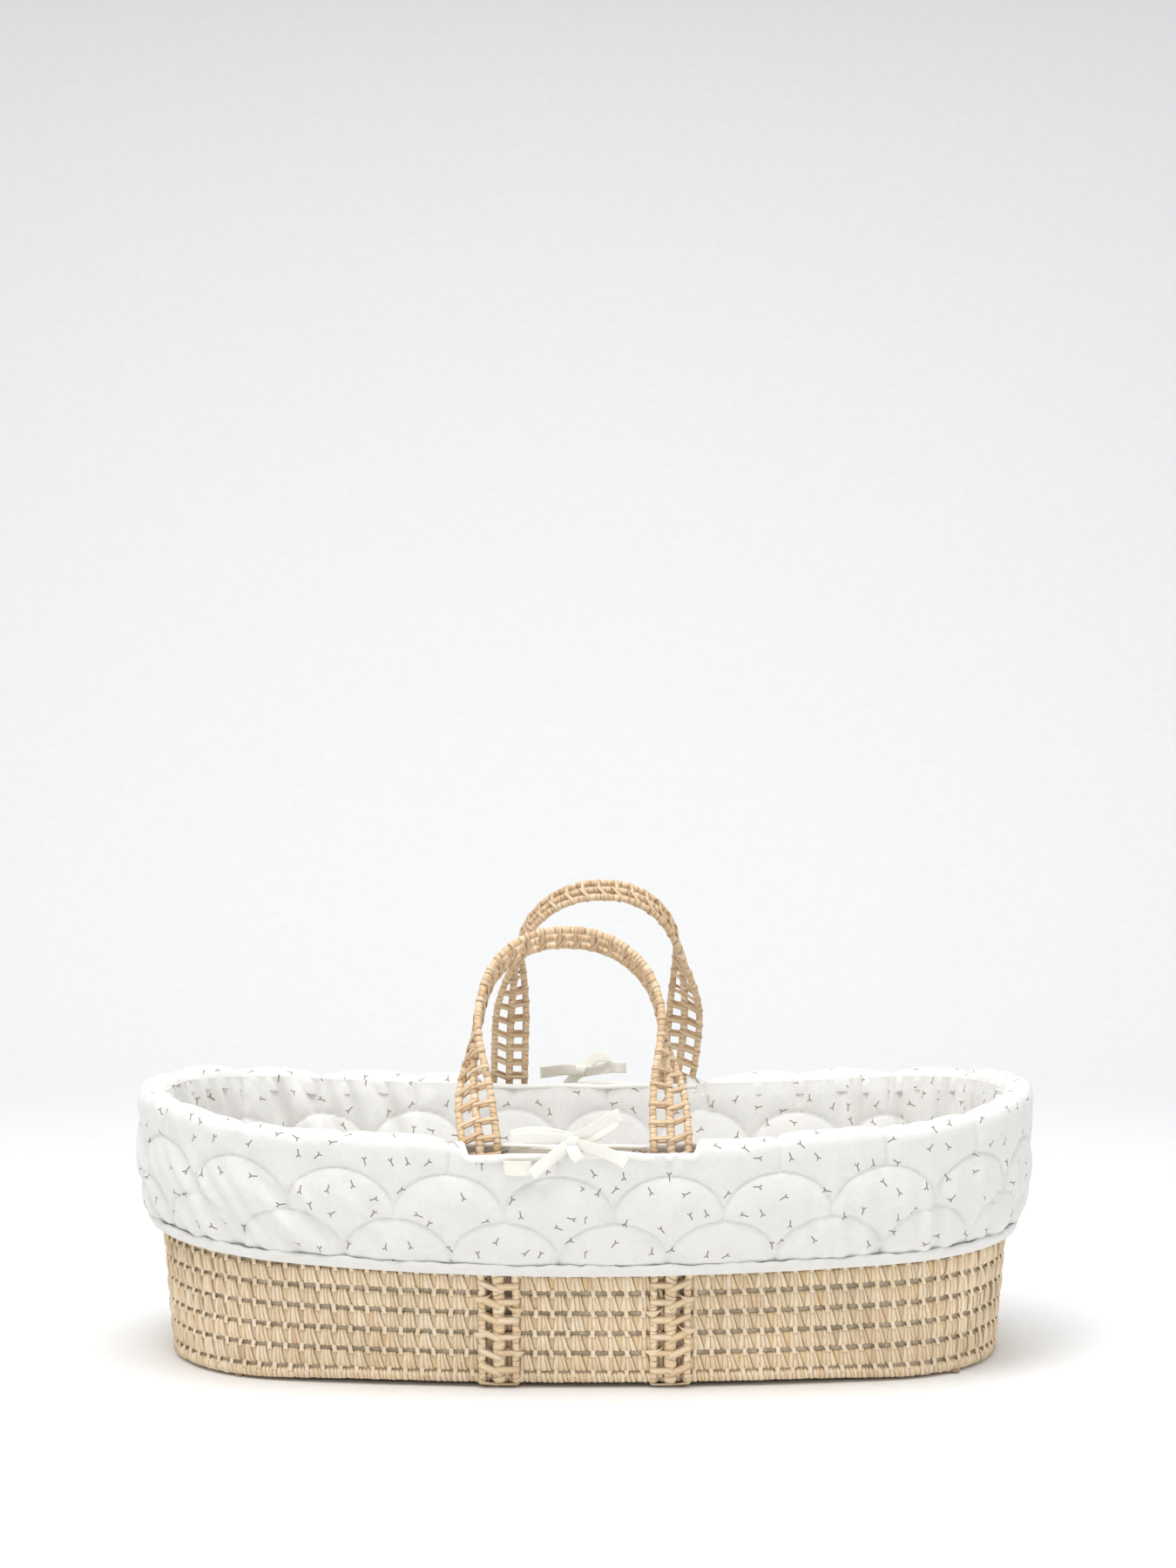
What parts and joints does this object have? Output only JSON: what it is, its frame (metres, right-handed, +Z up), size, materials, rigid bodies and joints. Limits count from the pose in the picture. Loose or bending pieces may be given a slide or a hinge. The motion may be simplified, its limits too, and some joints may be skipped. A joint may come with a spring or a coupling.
{
  "type": "moses basket",
  "caption": "Oval coiled palm-leaf baby basket with a quilted fabric liner over its rim, two arched carrying handles and a flat mattress inside.",
  "frame": {"origin": "middle of the footprint, on the surface that the basket stands on", "axes": "+X along the basket's length, -Y towards the front long side, +Z up"},
  "size_m": [0.85, 0.447, 0.4349],
  "materials": {
    "palm_rows": "dry flat palm leaf, satin",
    "palm_strap": "dry wrapped palm leaf, satin",
    "raffia": "pale split leaf, matte",
    "quilted_muslin": "crinkled cotton muslin, quilted, with a small sprig print",
    "binding_tape": "plain cotton tape, matte",
    "tie_tape": "cream cotton tape, matte",
    "label": "plain woven tab",
    "mattress_cotton": "cotton jersey cover",
    "foam": "open foam"
  },
  "bodies": {
    "basket": {"back_bow_knot": "tie_tape", "back_bow_loops": "tie_tape", "back_bow_tails": "tie_tape", "back_slot_binding": "binding_tape", "base_mat": "palm_rows", "foot_strap_left": "palm_strap", "foot_strap_right": "palm_strap", "front_bow_knot": "tie_tape", "front_bow_loops": "tie_tape", "front_bow_tails": "tie_tape", "front_slot_binding": "binding_tape", "hem_binding": "binding_tape", "label_tab": "label", "liner_floor": "quilted_muslin", "liner_lining": "quilted_muslin", "liner_skirt": "quilted_muslin", "side_strap_left": "palm_strap", "side_strap_right": "palm_strap", "strap_lashings": "raffia", "wall_row_01": "palm_rows", "wall_row_02": "palm_rows", "wall_row_03": "palm_rows", "wall_row_04": "palm_rows", "wall_row_05": "palm_rows", "wall_row_06": "palm_rows", "wall_row_07": "palm_rows", "wall_row_08": "palm_rows", "wall_row_09": "palm_rows", "wall_row_10": "palm_rows", "wall_row_11": "palm_rows", "wall_row_12": "palm_rows"},
    "front_handle": {"front_handle_braid": "palm_strap", "front_handle_inner_cord": "palm_strap", "front_handle_links": "palm_strap", "front_handle_outer_cord": "palm_strap"},
    "back_handle": {"back_handle_braid": "palm_strap", "back_handle_inner_cord": "palm_strap", "back_handle_links": "palm_strap", "back_handle_outer_cord": "palm_strap"},
    "mattress": {"mattress_core": "foam", "mattress_cover": "mattress_cotton"}
  },
  "joints": [
    {"name": "front_handle_swing", "type": "hinge", "parent": "basket", "child": "front_handle", "pos_m": [0, -0.2, 0.226], "axis": [1, 0, 0], "range_deg": [-28, 114]},
    {"name": "back_handle_swing", "type": "hinge", "parent": "basket", "child": "back_handle", "pos_m": [0, 0.2, 0.226], "axis": [-1, 0, 0], "range_deg": [-38, 104]},
    {"name": "mattress_lift", "type": "slide", "parent": "basket", "child": "mattress", "axis": [0, 0, 1], "range_m": [0, 0.165]}
  ]
}
